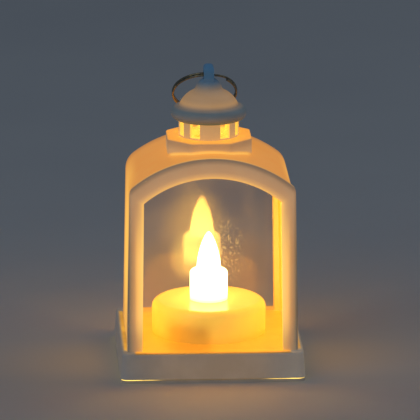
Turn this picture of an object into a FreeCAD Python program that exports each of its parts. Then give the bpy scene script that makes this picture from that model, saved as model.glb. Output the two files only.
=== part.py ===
import FreeCAD, Part
import math
import os
import Sketcher

# Battery candle lantern in thin translucent plastic: a square plinth, an arched glazed body,
# a vented collar and an ogee cap with a hanging ring. +Z is up, the window faces -Y and the
# origin is the middle of the underside. Lengths are millimetres and angles degrees.

doc = FreeCAD.newDocument("candle_lantern")
sheet = doc.addObject("Spreadsheet::Sheet", "Sizes")
pieces = []

SIZES = [
    ("base_width", 71.0, "plinth, side to side"),
    ("base_depth", 71.0, "plinth, front to back"),
    ("base_corner", 3.0, "plinth corner radius"),
    ("plinth_top", 11.5, "height of the plinth's deck"),
    ("plinth_draft", 0.75, "how far each plinth side leans in"),
    ("plinth_round", 0.9, "rounding of the plinth's top edge"),
    ("wall", 1.8, "moulded wall thickness"),
    ("seam", 0.3, "open seam between plinth and base plate"),
    ("lip_thick", 1.2, "edge of the base plate"),
    ("plate_thick", 2.4, "base plate inside the plinth"),
    ("fit_gap", 0.15, "clearance of parts that slip together"),
    ("reach", 30.0, "length of a cut that runs right through"),
    ("shoulder_rise", 5.0, "every shoulder edge lies at least this far above the deck"),
    ("body_front", 29.5, "front edge of the housing, from the middle"),
    ("body_rear", 29.5, "rear face of the housing, from the middle"),
    ("arch_centre", 38.7, "height of the centre that all arches share"),
    ("roof_radius", 46.9, "roof arch"),
    ("housing_foot", 32.3, "half width of the housing at the deck"),
    ("housing_shoulder", 31.1, "half width of the housing at the shoulder"),
    ("shoulder_round", 8.0, "rounding of the housing's shoulders"),
    ("rear_round", 4.0, "rounding of the housing's rear edge"),
    ("bezel_thick", 2.0, "front bezel"),
    ("bezel_radius", 48.2, "outer arch of the bezel"),
    ("bezel_foot", 32.9, "half width of the bezel at the deck"),
    ("bezel_shoulder", 31.7, "half width of the bezel at the shoulder"),
    ("bezel_corner", 4.0, "rounding of the bezel's shoulders"),
    ("bezel_round", 1.2, "rounding of the bezel's front edge"),
    ("opening_radius", 40.7, "window arch"),
    ("opening_foot", 26.9, "half width of the window at the deck"),
    ("opening_shoulder", 26.2, "half width of the window at its spring"),
    ("lip_deep", 1.5, "locating lip behind the bezel"),
    ("pane_thick", 0.4, "clear film"),
    ("pane_lap", 0.8, "film hidden behind the window's edge"),
    ("retainer_thick", 1.2, "frame that holds the rear film"),
    ("retainer_inset", 1.2, "retainer inside the housing's wall"),
    ("retainer_corner", 5.0, "rounding of the retainer's shoulders"),
    ("lug_wide", 6.0, "snap lug, along the wall"),
    ("lug_thick", 1.4, "snap lug, across the wall"),
    ("lug_long", 5.0, "snap lug, below the deck's top"),
    ("lug_place", 18.0, "lugs, from the middle of each side"),
    ("collar_width", 32.4, "collar across its flats"),
    ("collar_cut", 8.7, "corner cut of the collar"),
    ("collar_top", 89.4, "height of the collar"),
    ("collar_fillet", 0.8, "fillet at the collar's foot"),
    ("collar_round", 0.6, "rounding of the collar's top edge"),
    ("collar_corner", 2.5, "rounding of the collar's upright edges"),
    ("drum_radius", 11.6, "vent drum"),
    ("drum_wall", 1.6, "vent drum wall"),
    ("drum_top", 96.6, "top of the vent drum"),
    ("spigot_radius", 9.6, "spigot that snaps into the collar"),
    ("slot_low", 0.5, "sill under each vent slot"),
    ("slot_wide", 21.5, "vent slot, degrees of the drum"),
    ("slot_first", 30.5, "first vent slot, degrees off the front"),
    ("slot_second", 69.0, "second vent slot, degrees off the front"),
    ("cap_under", 95.6, "underside of the cap's rim"),
    ("cap_widest", 14.6, "cap rim"),
    ("rim_radius", 2.6, "roll of the cap's rim"),
    ("waist_radius", 11.5, "foot of the cap's dome"),
    ("waist_height", 101.0, "height of the dome's foot"),
    ("step_radius", 5.2, "top of the cap's dome"),
    ("step_height", 106.7, "height of the dome's top"),
    ("neck_radius", 2.5, "neck of the finial"),
    ("neck_height", 111.2, "height of the neck"),
    ("neck_swell", 1.9, "how far the curve under the neck swells out"),
    ("neck_drop", 2.6, "height of that swell above the band"),
    ("band_rise", 0.8, "upright band at the top of the dome"),
    ("band_lip", 0.8, "ledge at the foot of the band"),
    ("dome_swell", 1.8, "dome's bend, in from its foot"),
    ("dome_lift", 4.1, "dome's bend, above its foot"),
    ("crease_angle", 72.0, "where the rim's roll meets the dome, degrees from level"),
    ("cap_wall", 1.5, "cap wall"),
    ("attic_foot", 1.8, "cap's inner shoulder, below the foot of the dome"),
    ("attic_swell", 1.5, "bend of the cap's inner face, in from its upright wall"),
    ("attic_drop", 0.6, "bend of the cap's inner face, below its crown"),
    ("tab_thick", 3.9, "hanging tab, side to side"),
    ("tab_deep", 6.4, "hanging tab, front to back"),
    ("tab_top", 117.1, "height over all"),
    ("eye_height", 112.9, "height of the tab's eye"),
    ("eye_radius", 1.75, "tab's eye"),
    ("ring_radius", 12.2, "hanging ring, to the middle of its wire"),
    ("wire_radius", 0.5, "ring wire"),
    ("coil_pitch", 0.85, "distance between the ring's two coils"),
    ("ring_lean", 43.0, "ring's lean behind the cap, from hanging straight"),
    ("ring_shift", 1.2, "ring's centre, off the middle"),
    ("split_gap", 0.25, "slit where the ring's coil ends"),
    ("slit_turn", 130.0, "where the slit lies, degrees round from the ring's right"),
    ("slit_foot", 0.12, "foot of the slit, above the plane between the coils"),
    ("cup_radius", 22.0, "candle cup"),
    ("cup_top", 24.0, "height of the candle cup"),
    ("cup_wall", 1.4, "candle cup wall"),
    ("cup_round", 3.0, "rounding of the cup's top edge"),
    ("flange_radius", 24.0, "foot flange of the cup"),
    ("flange_thick", 1.2, "foot flange of the cup"),
    ("stub_radius", 7.3, "candle stub"),
    ("stub_top", 35.7, "height of the candle stub"),
    ("stub_wall", 1.3, "candle stub wall"),
    ("stub_round", 1.5, "rounding of the stub's top edge"),
    ("stub_socket", 1.0, "stub's spigot below the cup's top"),
    ("flame_radius", 4.7, "flame cover at its foot"),
    ("flame_top", 50.8, "tip of the flame cover"),
    ("flame_wall", 0.9, "flame cover wall"),
    ("lamp_radius", 2.5, "lamp body"),
    ("lamp_foot", 31.0, "underside of the lamp's flange"),
    ("lamp_long", 8.6, "lamp, flange to tip"),
    ("lamp_rim", 0.4, "lamp's flange beyond its body"),
    ("lamp_flange", 1.0, "thickness of the lamp's flange"),
    ("leg_radius", 0.25, "lamp leg"),
    ("leg_spread", 1.27, "each leg, from the middle"),
    ("leg_foot", 27.0, "lower end of the legs"),
    ("holder_thick", 1.6, "disc that holds the lamp"),
    ("cell_radius", 5.8, "button cell"),
    ("cell_long", 5.4, "button cell"),
    ("cell_count", 3, "button cells in the row"),
    ("can_short", 0.4, "cell's can, shorter than the cell"),
    ("button_inset", 1.1, "cell's button, in from the edge of its can"),
    ("button_tall", 0.45, "cell's button, from its root"),
    ("button_root", 0.1, "root of the cell's button inside the can"),
    ("cell_start", -15.1, "left end of the row of cells"),
    ("cell_low", 2.8, "underside of the cells"),
    ("tray_wall", 1.3, "battery tray wall"),
    ("contact_thick", 0.3, "contact strip"),
    ("contact_wide", 8.0, "contact strip"),
    ("contact_short", 0.5, "contact strip, short of the cell's edge"),
    ("tag_wide", 2.4, "contact's solder tag"),
    ("tag_rise", 3.0, "solder tag above the cells"),
    ("spring_long", 2.8, "contact spring when loaded"),
    ("spring_radius", 2.4, "contact spring"),
    ("spring_wire", 0.25, "contact spring wire radius"),
    ("spring_turns", 3, "turns of the contact spring"),
    ("door_over", 1.6, "door beyond the opening on each side"),
    ("door_thick", 1.2, "battery door"),
    ("door_margin", 0.6, "door beyond its screw's head"),
    ("pin_radius", 0.75, "door screw shank"),
    ("pin_long", 4.5, "door screw shank length"),
    ("pin_head", 1.5, "door screw head"),
    ("pin_head_thick", 0.7, "door screw head"),
    ("pin_boss", 2.0, "boss that takes the door screw"),
    ("pin_roof", 0.5, "boss beyond the end of the door screw"),
    ("grip_count", 4, "finger ribs on the battery door"),
    ("grip_pitch", 1.6, "distance between the finger ribs"),
    ("grip_wide", 0.7, "groove beside each finger rib"),
    ("grip_long", 6.0, "groove beside each finger rib"),
    ("grip_deep", 0.35, "groove beside each finger rib"),
    ("screw_place", 27.2, "base screws, from each middle line"),
    ("screw_radius", 0.95, "screw shank"),
    ("screw_long", 7.0, "screw shank length"),
    ("drive_long", 1.7, "cross slot in a screw head"),
    ("drive_wide", 0.4, "cross slot in a screw head"),
    ("drive_deep", 0.45, "cross slot in a screw head"),
    ("head_radius", 1.9, "screw head"),
    ("head_thick", 1.1, "screw head"),
    ("boss_radius", 2.6, "screw boss"),
    ("bore_gap", 0.05, "shank in its bore"),
    ("rib_wide", 3.0, "rib that clamps the cup's flange"),
    ("rib_out", 0.9, "rib, out from the middle of the flange"),
    ("switch_place", 13.2, "switch, right of the middle"),
    ("switch_wide", 4.4, "switch body, across"),
    ("switch_long", 8.6, "switch body, along its travel"),
    ("switch_tall", 4.4, "switch body"),
    ("switch_wall", 0.5, "switch body wall"),
    ("terminal_wide", 1.2, "switch terminal"),
    ("terminal_thick", 0.4, "switch terminal"),
    ("terminal_long", 2.3, "switch terminal above the switch"),
    ("terminal_pitch", 2.5, "distance between the switch terminals"),
    ("carriage_long", 5.1, "slider inside the switch"),
    ("carriage_tall", 2.0, "slider inside the switch"),
    ("switch_travel", 2.2, "slider travel"),
    ("knob_wide", 1.6, "slider knob"),
    ("knob_low", 0.5, "lower end of the knob"),
    ("recess_inset", 1.0, "recess under the switch, narrower than the switch"),
    ("lead_radius", 0.4, "insulated lead"),
    ("lead_drop", 1.2, "leads below the cup's roof"),
]

for row, (alias, size, meaning) in enumerate(SIZES, start=1):
    sheet.set(f"A{row}", alias)
    sheet.set(f"B{row}", str(size))
    sheet.set(f"C{row}", meaning)
    sheet.setAlias(f"B{row}", alias)
doc.recompute()


def size(alias):
    """The number that the sheet holds for this alias."""
    return float(sheet.get(alias))


def of(formula):
    """The formula with each alias written as the sheet's own cell."""
    words = []
    word = ""
    for letter in formula + " ":
        if letter.isalnum() or letter == "_":
            word += letter
            continue
        words.append("Sizes." + word if word in ALIASES else word)
        words.append(letter)
        word = ""
    return "".join(words).strip()


ALIASES = {alias for alias, _, _ in SIZES}
Z_AXIS = FreeCAD.Vector(0, 0, 1)
TO_X = FreeCAD.Rotation(FreeCAD.Vector(0, 1, 0), 90)
NEAR = 0.01  # edges this close to a place lie there
BEND_SHARE = 0.45  # of the shorter run, given to the arc between two runs


def solid(kind, name, sizes, at=("0", "0", "0"), turn=None):
    """A Part primitive whose sizes and place are formulas of the sheet's values."""
    made = doc.addObject("Part::" + kind, name)
    if turn:
        made.Placement = FreeCAD.Placement(FreeCAD.Vector(), turn)
    for property_name, formula in sizes.items():
        made.setExpression(property_name, of(formula))
    for axis, formula in zip("xyz", at):
        made.setExpression("Placement.Base." + axis, of(formula))
    return made


def block(name, sizes, middle, foot):
    """A box given by its three sizes, the middle of its plan and the height of its foot."""
    wide, deep, tall = sizes
    at = (f"({middle[0]}) - ({wide}) / 2", f"({middle[1]}) - ({deep}) / 2", foot)
    return solid("Box", name, {"Length": wide, "Width": deep, "Height": tall}, at)


def rod(name, radius, tall, at=("0", "0", "0"), turn=None):
    """A cylinder that stands on its place, or lies along turn."""
    return solid("Cylinder", name, {"Radius": radius, "Height": tall}, at, turn)


def join(name, shapes):
    """One solid out of several that overlap."""
    made = doc.addObject("Part::MultiFuse", name)
    made.Shapes = shapes
    made.Refine = True
    return made


def cut(name, base, tools):
    """The base less every tool."""
    made = doc.addObject("Part::Cut", name)
    made.Base = base
    made.Tool = tools[0] if len(tools) == 1 else join(name + "_tools", tools)
    made.Refine = True
    return made


def rounded(name, base, radius, chosen):
    """The base with a fillet on each edge that the test chooses."""
    doc.recompute()
    made = doc.addObject("Part::Fillet", name)
    made.Base = base
    numbers = [n for n, edge in enumerate(base.Shape.Edges, start=1) if chosen(edge)]
    made.Edges = [(n, radius, radius) for n in numbers]
    return made


def keep(made, label):
    """Counts a finished object as a piece of the lantern."""
    made.Label = label
    pieces.append(made)
    return made


def shaped(label, shape, place=None):
    """A piece whose shape is worked out here from the sheet's values."""
    made = doc.addObject("Part::Feature", label + "_shape")
    made.Shape = shape
    if place:
        made.Placement = place
    return keep(made, label)


def grouped(label, shapes):
    """Identical separate solids that share one node."""
    made = doc.addObject("Part::Compound", label + "_group")
    made.Links = shapes
    return keep(made, label)


# Sketched outlines


def origin_plane(body, role):
    """The body's own origin plane of this role."""
    return next(plane for plane in body.Origin.OriginFeatures if plane.Role == role)


def new_sketch(body, name, role, offset):
    """A sketch on an origin plane, moved along the plane's own normal."""
    sketch = body.newObject("Sketcher::SketchObject", name)
    sketch.AttachmentSupport = (origin_plane(body, role), [""])
    sketch.MapMode = "FlatFace"
    sketch.setExpression("AttachmentOffset.Base.z", of(offset))
    return sketch


def size_constraint(sketch, constraint, name, formula):
    """A dimension of the sketch that follows the sheet."""
    number = sketch.addConstraint(constraint)
    sketch.renameConstraint(number, name)
    sketch.setExpression("Constraints." + name, of(formula))


def evaluated(formula):
    """What a formula of the sheet's values comes to."""
    return float(sheet.evalExpression(of(formula)))


def draw_arch(sketch, foot_half, shoulder_half, radius, foot):
    """A closed outline: level foot, two leaning sides and an arch about the shared centre."""
    half = evaluated(foot_half)
    shoulder = evaluated(shoulder_half)
    arch = evaluated(radius)
    low = evaluated(foot)
    centre = evaluated("arch_centre")
    spring = centre + math.sqrt(arch**2 - shoulder**2)
    corners = [(-half, low), (half, low), (shoulder, spring), (-shoulder, spring)]
    points = [FreeCAD.Vector(x, y, 0) for x, y in corners]
    lines = [Part.LineSegment(points[n], points[n + 1]) for n in (0, 1)]
    crown = FreeCAD.Vector(0, centre + arch, 0)
    lines.append(Part.Arc(points[2], crown, points[3]))
    lines.append(Part.LineSegment(points[3], points[0]))
    first = sketch.addGeometry(lines, False)[0]
    bottom, right, top, left = range(first, first + 4)
    for before, after in ((bottom, right), (right, top), (top, left), (left, bottom)):
        sketch.addConstraint(Sketcher.Constraint("Coincident", before, 2, after, 1))
    sketch.addConstraint(Sketcher.Constraint("Symmetric", bottom, 1, bottom, 2, -2))
    sketch.addConstraint(Sketcher.Constraint("Symmetric", right, 2, left, 1, -2))
    across = Sketcher.Constraint("DistanceX", bottom, 1, bottom, 2, 2 * half)
    size_constraint(sketch, across, "foot", f"2 * ({foot_half})")
    across = Sketcher.Constraint("DistanceX", left, 1, right, 2, 2 * shoulder)
    size_constraint(sketch, across, "shoulder", f"2 * ({shoulder_half})")
    bow = Sketcher.Constraint("Radius", top, arch)
    size_constraint(sketch, bow, "bow", radius)
    up = Sketcher.Constraint("DistanceY", -1, 1, top, 3, centre)
    size_constraint(sketch, up, "centre", "arch_centre")
    up = Sketcher.Constraint("DistanceY", -1, 1, bottom, 1, low)
    size_constraint(sketch, up, "low", foot)


def arch_body(name, rear, long, outline):
    """A body with an arch outline, padded forward from its rear plane."""
    body = doc.addObject("PartDesign::Body", name)
    sketch = new_sketch(body, name + "_outline", "XZ_Plane", f"-({rear})")
    draw_arch(sketch, *outline)
    pad = body.newObject("PartDesign::Pad", name + "_pad")
    pad.Profile = sketch
    pad.setExpression("Length", of(long))
    doc.recompute()
    return body


def draw_rounded_rectangle(sketch, wide, deep, corner):
    """A centred rectangle with round corners."""
    half_x = evaluated(wide) / 2
    half_y = evaluated(deep) / 2
    round_off = evaluated(corner)
    inner_x = half_x - round_off
    inner_y = half_y - round_off
    turns = [(inner_x, inner_y), (-inner_x, inner_y), (-inner_x, -inner_y), (inner_x, -inner_y)]
    ends = []
    for quarter, (x, y) in enumerate(turns):
        circle = Part.Circle(FreeCAD.Vector(x, y, 0), Z_AXIS, round_off)
        start = quarter * math.pi / 2
        ends.append(Part.ArcOfCircle(circle, start, start + math.pi / 2))
    sides = []
    for quarter in range(4):
        leave = ends[quarter].EndPoint
        arrive = ends[(quarter + 1) % 4].StartPoint
        sides.append(Part.LineSegment(leave, arrive))
    arcs = sketch.addGeometry(ends, False)
    lines = sketch.addGeometry(sides, False)
    for quarter in range(4):
        after = arcs[(quarter + 1) % 4]
        sketch.addConstraint(Sketcher.Constraint("Tangent", arcs[quarter], 2, lines[quarter], 1))
        sketch.addConstraint(Sketcher.Constraint("Tangent", lines[quarter], 2, after, 1))
    for quarter in (1, 2, 3):
        sketch.addConstraint(Sketcher.Constraint("Equal", arcs[0], arcs[quarter]))
    for quarter in (0, 2):
        sketch.addConstraint(Sketcher.Constraint("Horizontal", lines[quarter]))
    sketch.addConstraint(Sketcher.Constraint("Vertical", lines[1]))
    sketch.addConstraint(Sketcher.Constraint("Symmetric", arcs[0], 3, arcs[2], 3, -1, 1))
    bend = Sketcher.Constraint("Radius", arcs[0], round_off)
    size_constraint(sketch, bend, "corner", corner)
    across = Sketcher.Constraint("DistanceX", arcs[1], 3, arcs[0], 3, 2 * inner_x)
    size_constraint(sketch, across, "wide", f"({wide}) - 2 * ({corner})")
    across = Sketcher.Constraint("DistanceY", arcs[3], 3, arcs[0], 3, 2 * inner_y)
    size_constraint(sketch, across, "deep", f"({deep}) - 2 * ({corner})")


def rounded_slab(name, wide, deep, corner, foot, tall, lean="0"):
    """A slab with round corners whose sides lean in by so much over its height."""
    body = doc.addObject("PartDesign::Body", name)
    sketch = new_sketch(body, name + "_outline", "XY_Plane", foot)
    draw_rounded_rectangle(sketch, wide, deep, corner)
    pad = body.newObject("PartDesign::Pad", name + "_pad")
    pad.Profile = sketch
    pad.setExpression("Length", of(tall))
    pad.setExpression("TaperAngle", of(f"-atan(({lean}) / ({tall}))"))
    doc.recompute()
    return body


# Where an edge lies, for the fillets


def level(edge, height):
    """Whether the whole edge lies at this height."""
    box = edge.BoundBox
    return abs(box.ZMin - height) < NEAR and abs(box.ZMax - height) < NEAR


def on_plane(edge, depth):
    """Whether the whole edge lies in the plane at this depth."""
    box = edge.BoundBox
    return abs(box.YMin - depth) < NEAR and abs(box.YMax - depth) < NEAR


def along_depth(edge, least_height):
    """Whether the edge runs front to back above this height."""
    box = edge.BoundBox
    runs_back = box.YLength > 2 * max(box.XLength, box.ZLength, NEAR)
    return runs_back and box.ZMin > least_height


def upright(edge):
    """Whether the edge stands up."""
    box = edge.BoundBox
    return box.ZLength > 2 * max(box.XLength, box.YLength, NEAR)


def corners_of(across, down):
    """The four places of a feature that stands once near each corner."""
    return [(f"{x} * ({across})", f"{y} * ({down})") for x in (1, -1) for y in (1, -1)]


# Base


def make_plinth():
    outer_foot = "lip_thick + seam"
    outer = rounded_slab(
        "plinth_outer", "base_width", "base_depth", "base_corner",
        outer_foot, f"plinth_top - ({outer_foot})", "plinth_draft",
    )
    top = size("plinth_top")
    soft = rounded("plinth_soft", outer, size("plinth_round"), lambda edge: level(edge, top))
    inner_wide = "base_width - 2 * (plinth_draft + wall)"
    inner_deep = "base_depth - 2 * (plinth_draft + wall)"
    hollow = rounded_slab(
        "plinth_hollow", inner_wide, inner_deep, "base_corner - wall",
        "0", "plinth_top - wall",
    )
    shell = cut("plinth_shell", soft, [hollow])
    parts = [shell]
    boss_tall = "plinth_top - wall / 2 - plate_thick"
    for n, (x, y) in enumerate(corners_of("screw_place", "screw_place")):
        parts.append(rod(f"boss{n}", "boss_radius", boss_tall, (x, y, "plate_thick")))
    rib_foot = "plate_thick + flange_thick"
    rib_tall = f"plinth_top - wall / 2 - ({rib_foot})"
    middle = "(cup_radius + flange_radius) / 2 + rib_out"
    for n, (x, y) in enumerate([("1", "0"), ("-1", "0"), ("0", "1"), ("0", "-1")]):
        place = (f"{x} * ({middle})", f"{y} * ({middle})")
        parts.append(block(f"rib{n}", ("rib_wide", "rib_wide", rib_tall), place, rib_foot))
    tools = [rod("cup_way", "cup_radius + fit_gap", "reach")]
    for n, (x, y) in enumerate(corners_of("screw_place", "screw_place")):
        bore = rod(f"boss_bore{n}", "screw_radius + bore_gap",
                   "screw_long + head_thick + 2 * fit_gap", (x, y, "0"))
        tools.append(bore)
    slot = ("lug_thick + 2 * fit_gap", "lug_wide + 2 * fit_gap", "2 * wall")
    for n, (x, y) in enumerate(corners_of("housing_foot - wall / 2", "lug_place")):
        tools.append(block(f"lug_slot{n}", slot, (x, y), "plinth_top - 1.5 * wall"))
    keep(cut("plinth_cut", join("plinth_whole", parts), tools), "plinth")


def tray_ends():
    """Formulas for the left and right ends of the room inside the battery tray."""
    left = "cell_start - contact_thick"
    right = "cell_start + cell_count * cell_long + spring_long + contact_thick"
    return left, right


def tray_plan():
    """Formulas for the battery tray's middle, inner length and inner width."""
    left, right = tray_ends()
    middle = f"(({left}) + ({right})) / 2"
    long = f"({right}) - ({left})"
    return middle, long, "2 * (cell_radius + fit_gap)"


def pin_place():
    """How far right of the middle the battery door's screw stands."""
    return f"({tray_ends()[1]}) + tray_wall + pin_boss - bore_gap"


def door_plan():
    """Formulas for the battery door's middle, length and width."""
    left, _ = tray_ends()
    left_end = f"({left}) - door_over"
    right_end = f"({pin_place()}) + pin_head + door_margin"
    middle = f"(({left_end}) + ({right_end})) / 2"
    return middle, f"({right_end}) - ({left_end})", "2 * (cell_radius + fit_gap + door_over)"


def make_base_plate():
    lip = rounded_slab(
        "plate_lip", "base_width - 2 * seam", "base_depth - 2 * seam", "base_corner - seam",
        "0", "lip_thick",
    )
    room = "plinth_draft + wall + fit_gap"
    inner = rounded_slab(
        "plate_inner", f"base_width - 2 * ({room})", f"base_depth - 2 * ({room})",
        "base_corner - wall - fit_gap", "0", "plate_thick",
    )
    tools = []
    head_room = "head_thick + 2 * fit_gap"
    for n, (x, y) in enumerate(corners_of("screw_place", "screw_place")):
        tools.append(rod(f"plate_hole{n}", "screw_radius + fit_gap", "plate_thick", (x, y, "0")))
        tools.append(rod(f"plate_sink{n}", "head_radius + fit_gap", head_room, (x, y, "0")))
    middle, long, wide = tray_plan()
    tools.append(block("cell_way", (long, wide, "plate_thick"), (middle, "0"), "0"))
    door_middle, door_long, door_wide = door_plan()
    rebate = (f"{door_long} + 2 * fit_gap", f"{door_wide} + 2 * fit_gap", "door_thick")
    tools.append(block("door_rebate", rebate, (door_middle, "0"), "0"))
    tools.append(rod("pin_hole", "pin_radius + fit_gap", "plate_thick", (pin_place(), "0", "0")))
    knob_room = "knob_wide + 4 * fit_gap"
    slot = (knob_room, f"{knob_room} + switch_travel", "plate_thick")
    tools.append(block("knob_way", slot, ("switch_place", "0"), "0"))
    recess = ("switch_wide - recess_inset", "switch_long", "lip_thick")
    tools.append(block("knob_recess", recess, ("switch_place", "0"), "0"))
    keep(cut("plate_cut", join("plate_whole", [lip, inner]), tools), "base_plate")


def cross_slot(name, middle, foot):
    """The two bars that cut a cross into a screw head from below."""
    long, wide, deep = "drive_long", "drive_wide", "drive_deep"
    return [
        block(name + "_along", (long, wide, deep), middle, foot),
        block(name + "_across", (wide, long, deep), middle, foot),
    ]


def make_base_screws():
    screws = []
    head_foot = "fit_gap"
    for n, (x, y) in enumerate(corners_of("screw_place", "screw_place")):
        shank = rod(f"shank{n}", "screw_radius", "screw_long + head_thick", (x, y, head_foot))
        head = rod(f"head{n}", "head_radius", "head_thick", (x, y, head_foot))
        blank = join(f"screw_blank{n}", [shank, head])
        screws.append(cut(f"screw{n}", blank, cross_slot(f"cross{n}", (x, y), head_foot)))
    grouped("base_screws", screws)


# Candle


def make_candle_cup():
    outer = rod("cup_outer", "cup_radius", "cup_top - plate_thick", ("0", "0", "plate_thick"))
    top = size("cup_top")
    soft = rounded("cup_soft", outer, size("cup_round"), lambda edge: level(edge, top))
    flange = rod("cup_flange", "flange_radius", "flange_thick", ("0", "0", "plate_thick"))
    room = rod("cup_room", "cup_radius - cup_wall", "cup_top - cup_wall - plate_thick",
               ("0", "0", "plate_thick"))
    socket = rod("cup_socket", "stub_radius - stub_wall + fit_gap", "2 * cup_wall",
                 ("0", "0", "cup_top - 1.5 * cup_wall"))
    keep(cut("cup_cut", join("cup_whole", [soft, flange]), [room, socket]), "candle_cup")


def make_candle_stub():
    tall = "stub_top - cup_top"
    outer = rod("stub_outer", "stub_radius", tall, ("0", "0", "cup_top"))
    top = size("stub_top")
    soft = rounded("stub_soft", outer, size("stub_round"), lambda edge: level(edge, top))
    spigot = rod("stub_spigot", "stub_radius - stub_wall", "stub_socket + stub_wall",
                 ("0", "0", "cup_top - stub_socket"))
    bore = rod("stub_bore", "stub_radius - 2 * stub_wall", f"{tall} - stub_wall + stub_socket",
               ("0", "0", "cup_top - stub_socket"))
    mouth = rod("stub_mouth", "flame_radius - flame_wall / 2 + bore_gap", "3 * stub_wall",
                ("0", "0", "stub_top - 2 * stub_wall"))
    keep(cut("stub_cut", join("stub_whole", [soft, spigot]), [bore, mouth]), "candle_stub")


def make_flame_cover():
    at = ("0", "0", "stub_top")
    half = {"Radius2": "flame_radius", "Radius1": "flame_top - stub_top", "Angle1": "0"}
    outer = solid("Ellipsoid", "flame_outer", half, at)
    inner_half = {
        "Radius2": "flame_radius - flame_wall",
        "Radius1": "flame_top - stub_top - 1.5 * flame_wall",
        "Angle1": "0",
    }
    inner = solid("Ellipsoid", "flame_inner", inner_half, at)
    collar = rod("flame_collar", "flame_radius - flame_wall / 2", "1.2 * stub_wall",
                 ("0", "0", "stub_top - stub_wall"))
    way = rod("flame_way", "flame_radius - 1.5 * flame_wall", "2 * stub_wall",
              ("0", "0", "stub_top - stub_wall"))
    keep(cut("flame_cut", join("flame_whole", [outer, collar]), [inner, way]), "flame_cover")


def make_lamp():
    barrel_tall = "lamp_long - lamp_radius"
    barrel = rod("lamp_barrel", "lamp_radius", barrel_tall, ("0", "0", "lamp_foot"))
    dome = solid("Sphere", "lamp_dome", {"Radius": "lamp_radius"},
                 ("0", "0", f"lamp_foot + {barrel_tall}"))
    flange = rod("lamp_flange_rod", "lamp_radius + lamp_rim", "lamp_flange", ("0", "0", "lamp_foot"))
    legs = []
    for side in (-1, 1):
        at = (f"{side} * leg_spread", "0", "leg_foot")
        legs.append(rod(f"leg{side + 1}", "leg_radius", "lamp_foot - leg_foot + lamp_flange / 2", at))
    keep(join("lamp_whole", [barrel, dome, flange, *legs]), "led_lamp")
    disc = rod("holder_disc", "stub_radius - 2 * stub_wall - bore_gap", "holder_thick",
               ("0", "0", "lamp_foot - holder_thick"))
    ways = []
    for side in (-1, 1):
        at = (f"{side} * leg_spread", "0", "leg_foot")
        ways.append(rod(f"leg_way{side + 1}", "leg_radius + bore_gap", "reach", at))
    keep(cut("holder_cut", disc, ways), "lamp_holder")


def make_cells():
    axis_height = "cell_low + cell_radius"
    for n in range(round(size("cell_count"))):
        start = f"cell_start + {n} * cell_long"
        can = rod(f"can{n}", "cell_radius", "cell_long - can_short", (start, "0", axis_height), TO_X)
        button_start = f"{start} + cell_long - can_short - button_root"
        button = rod(f"button{n}", "cell_radius - button_inset", "button_tall",
                     (button_start, "0", axis_height), TO_X)
        keep(join(f"cell{n}", [can, button]), f"button_cell_{n + 1}")


def make_battery_tray():
    middle, long, wide = tray_plan()
    room_tall = "cell_low + 2 * cell_radius + fit_gap - plate_thick"
    outer = block(
        "tray_outer",
        (f"{long} + 2 * tray_wall", f"{wide} + 2 * tray_wall", f"{room_tall} + tray_wall"),
        (middle, "0"), "plate_thick",
    )
    boss_tall = "pin_long + pin_roof - plate_thick + door_thick"
    boss = rod("pin_boss_rod", "pin_boss", boss_tall, (pin_place(), "0", "plate_thick"))
    room = block("tray_room", (long, wide, room_tall), (middle, "0"), "plate_thick")
    bore = rod("pin_bore", "pin_radius + bore_gap", "2 * pin_long", (pin_place(), "0", "0"))
    left, right = tray_ends()
    slot = ("contact_thick + 2 * bore_gap", "tag_wide + 4 * fit_gap", "3 * tray_wall")
    slots = []
    for n, place in enumerate((f"({left}) + contact_thick / 2", f"({right}) - contact_thick / 2")):
        slots.append(block(f"tab_slot{n}", slot, (place, "0"),
                           "cell_low + 2 * cell_radius - tray_wall"))
    keep(cut("tray_cut", join("tray_whole", [outer, boss]), [room, bore, *slots]), "battery_tray")


def make_contacts():
    left, right = tray_ends()
    plate = ("contact_thick", "contact_wide", "2 * (cell_radius - contact_short)")
    tab_foot = "cell_low + cell_radius"
    tab = ("contact_thick", "tag_wide", "cell_radius + tag_rise")
    for label, place in (
        ("positive_contact", f"({left}) + contact_thick / 2"),
        ("negative_contact", f"({right}) - contact_thick / 2"),
    ):
        face = block(label + "_face", plate, (place, "0"), "cell_low + contact_short")
        tag = block(label + "_tag", tab, (place, "0"), tab_foot)
        keep(join(label + "_whole", [face, tag]), label)


def make_contact_spring():
    start = evaluated("cell_start + cell_count * cell_long")
    wire = size("spring_wire")
    radius = size("spring_radius")
    long = size("spring_long") - 2 * wire
    helix = Part.makeHelix(long / size("spring_turns"), long, radius)
    section = Part.Circle(FreeCAD.Vector(radius, 0, 0), FreeCAD.Vector(0, 1, 0), wire)
    circle = Part.Wire(section.toShape())
    coil = Part.Wire(helix.Edges).makePipeShell([circle], True, True)
    height = evaluated("cell_low + cell_radius")
    place = FreeCAD.Placement(FreeCAD.Vector(start + wire, 0, height), TO_X)
    shaped("contact_spring", coil, place)


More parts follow.
